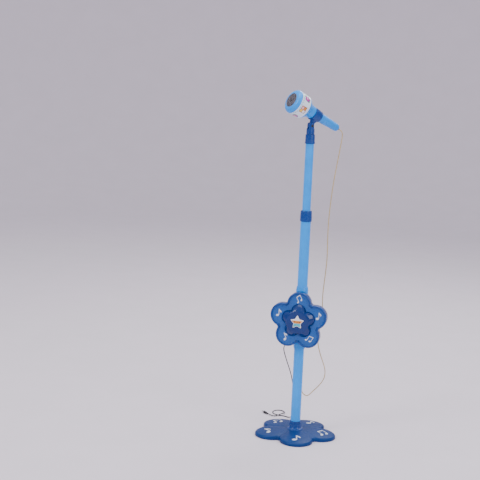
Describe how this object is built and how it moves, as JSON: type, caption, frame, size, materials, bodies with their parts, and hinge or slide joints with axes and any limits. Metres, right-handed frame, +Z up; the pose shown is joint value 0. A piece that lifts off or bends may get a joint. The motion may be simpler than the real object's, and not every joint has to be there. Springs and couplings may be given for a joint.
{
  "type": "toy microphone on a telescoping stand",
  "caption": "Toy microphone in a tilting clip on a telescoping pole, with a flower-shaped loudspeaker box, a petal base, a microphone cord and an audio lead.",
  "frame": {"origin": "on the pole's axis at floor level, under the middle of the base", "axes": "+Z up along the pole; -Y is the front, the side that the loudspeaker's dome faces; +X is the viewer's right"},
  "size_m": [0.2908, 0.355, 1.1001],
  "materials": {
    "sky_plastic": "gloss",
    "navy_plastic": "gloss",
    "flower_blue": "gloss",
    "dish_blue": "high gloss",
    "badge": "gloss",
    "band_white": "gloss",
    "grille_metal": "satin",
    "black_plastic": "matte",
    "foam": "open cell foam",
    "steel": "zinc plated",
    "nickel": "polished",
    "magnet": "sintered",
    "paper_cone": "pressed paper",
    "circuit_green": "solder mask",
    "cell_wrap": "printed foil",
    "tan_cord": "clear sleeve over copper",
    "black_cord": "satin",
    "wire_red": "satin"
  },
  "bodies": {
    "stand": {"base_shell": "navy_plastic", "base_bottom_plate": "navy_plastic", "base_screws": "steel", "lower_tube": "sky_plastic", "mid_tube": "sky_plastic", "lock_collet": "band_white", "speaker_back_shell": "sky_plastic", "speaker_front_flower": "flower_blue", "speaker_dome": "dish_blue", "star_badge": "badge", "speaker_housing_screws": "steel", "driver_basket": "steel", "driver_magnet": "magnet", "driver_cone": "paper_cone", "driver_dust_cap": "paper_cone", "circuit_board": "circuit_green", "board_parts": "black_plastic", "aux_jack": "nickel", "mic_jack": "nickel", "volume_control": "black_plastic", "volume_board": "circuit_green", "batteries": "cell_wrap", "battery_contacts": "nickel", "inner_wires": "wire_red", "mic_cord": "tan_cord", "mic_plug_grip": "black_plastic", "mic_plug_pin": "nickel", "aux_cord": "black_cord", "aux_plug_speaker_grip": "black_plastic", "aux_plug_speaker_pin": "nickel", "aux_plug_player_grip": "black_plastic", "aux_plug_player_pin": "nickel"},
    "collar": {"lock_collar": "navy_plastic"},
    "upper_stage": {"upper_tube": "sky_plastic", "guide_bush": "black_plastic", "top_collar": "navy_plastic"},
    "neck": {"neck_post": "navy_plastic", "pivot_screw": "steel", "pivot_nut": "steel"},
    "clip": {"mic_clip": "navy_plastic"},
    "microphone": {"mic_cap": "sky_plastic", "mic_grille": "grille_metal", "mic_grille_stud": "black_plastic", "mic_foam": "foam", "mic_capsule": "steel", "mic_capsule_holder": "black_plastic", "mic_band": "band_white", "mic_handle_upper": "sky_plastic", "mic_handle_lower": "sky_plastic", "mic_handle_screws": "steel", "mic_strain_relief": "sky_plastic"},
    "wheel": {"volume_wheel": "black_plastic"},
    "door": {"battery_door": "sky_plastic", "battery_door_screw": "steel"}
  },
  "joints": [
    {"name": "collar_twist", "type": "hinge", "parent": "stand", "child": "collar", "pos_m": [0, 0, 0.71], "axis": [0, 0, 1], "range_deg": [0, 90]},
    {"name": "height_slide", "type": "slide", "parent": "stand", "child": "upper_stage", "axis": [0, 0, 1], "range_m": [-0.2, 0], "deforming": ["mic_cord"]},
    {"name": "neck_swivel", "type": "hinge", "parent": "upper_stage", "child": "neck", "pos_m": [0, 0, 0.966], "axis": [0, 0, 1], "range_deg": [-90, 90], "deforming": ["mic_cord"]},
    {"name": "clip_tilt", "type": "hinge", "parent": "neck", "child": "clip", "pos_m": [0, 0, 0.992], "axis": [-0.7314, 0.682, 0], "range_deg": [-60, 45], "deforming": ["mic_cord"]},
    {"name": "mic_release", "type": "slide", "parent": "clip", "child": "microphone", "axis": [-0.6181, -0.6628, 0.4226], "range_m": [0, 0.125], "deforming": ["mic_cord"]},
    {"name": "volume_turn", "type": "hinge", "parent": "stand", "child": "wheel", "pos_m": [0, 0.015, 0.345], "axis": [0, 0, 1], "range_deg": [0, 270]},
    {"name": "door_release", "type": "slide", "parent": "stand", "child": "door", "axis": [0, 1, 0], "range_m": [0, 0.03]}
  ]
}
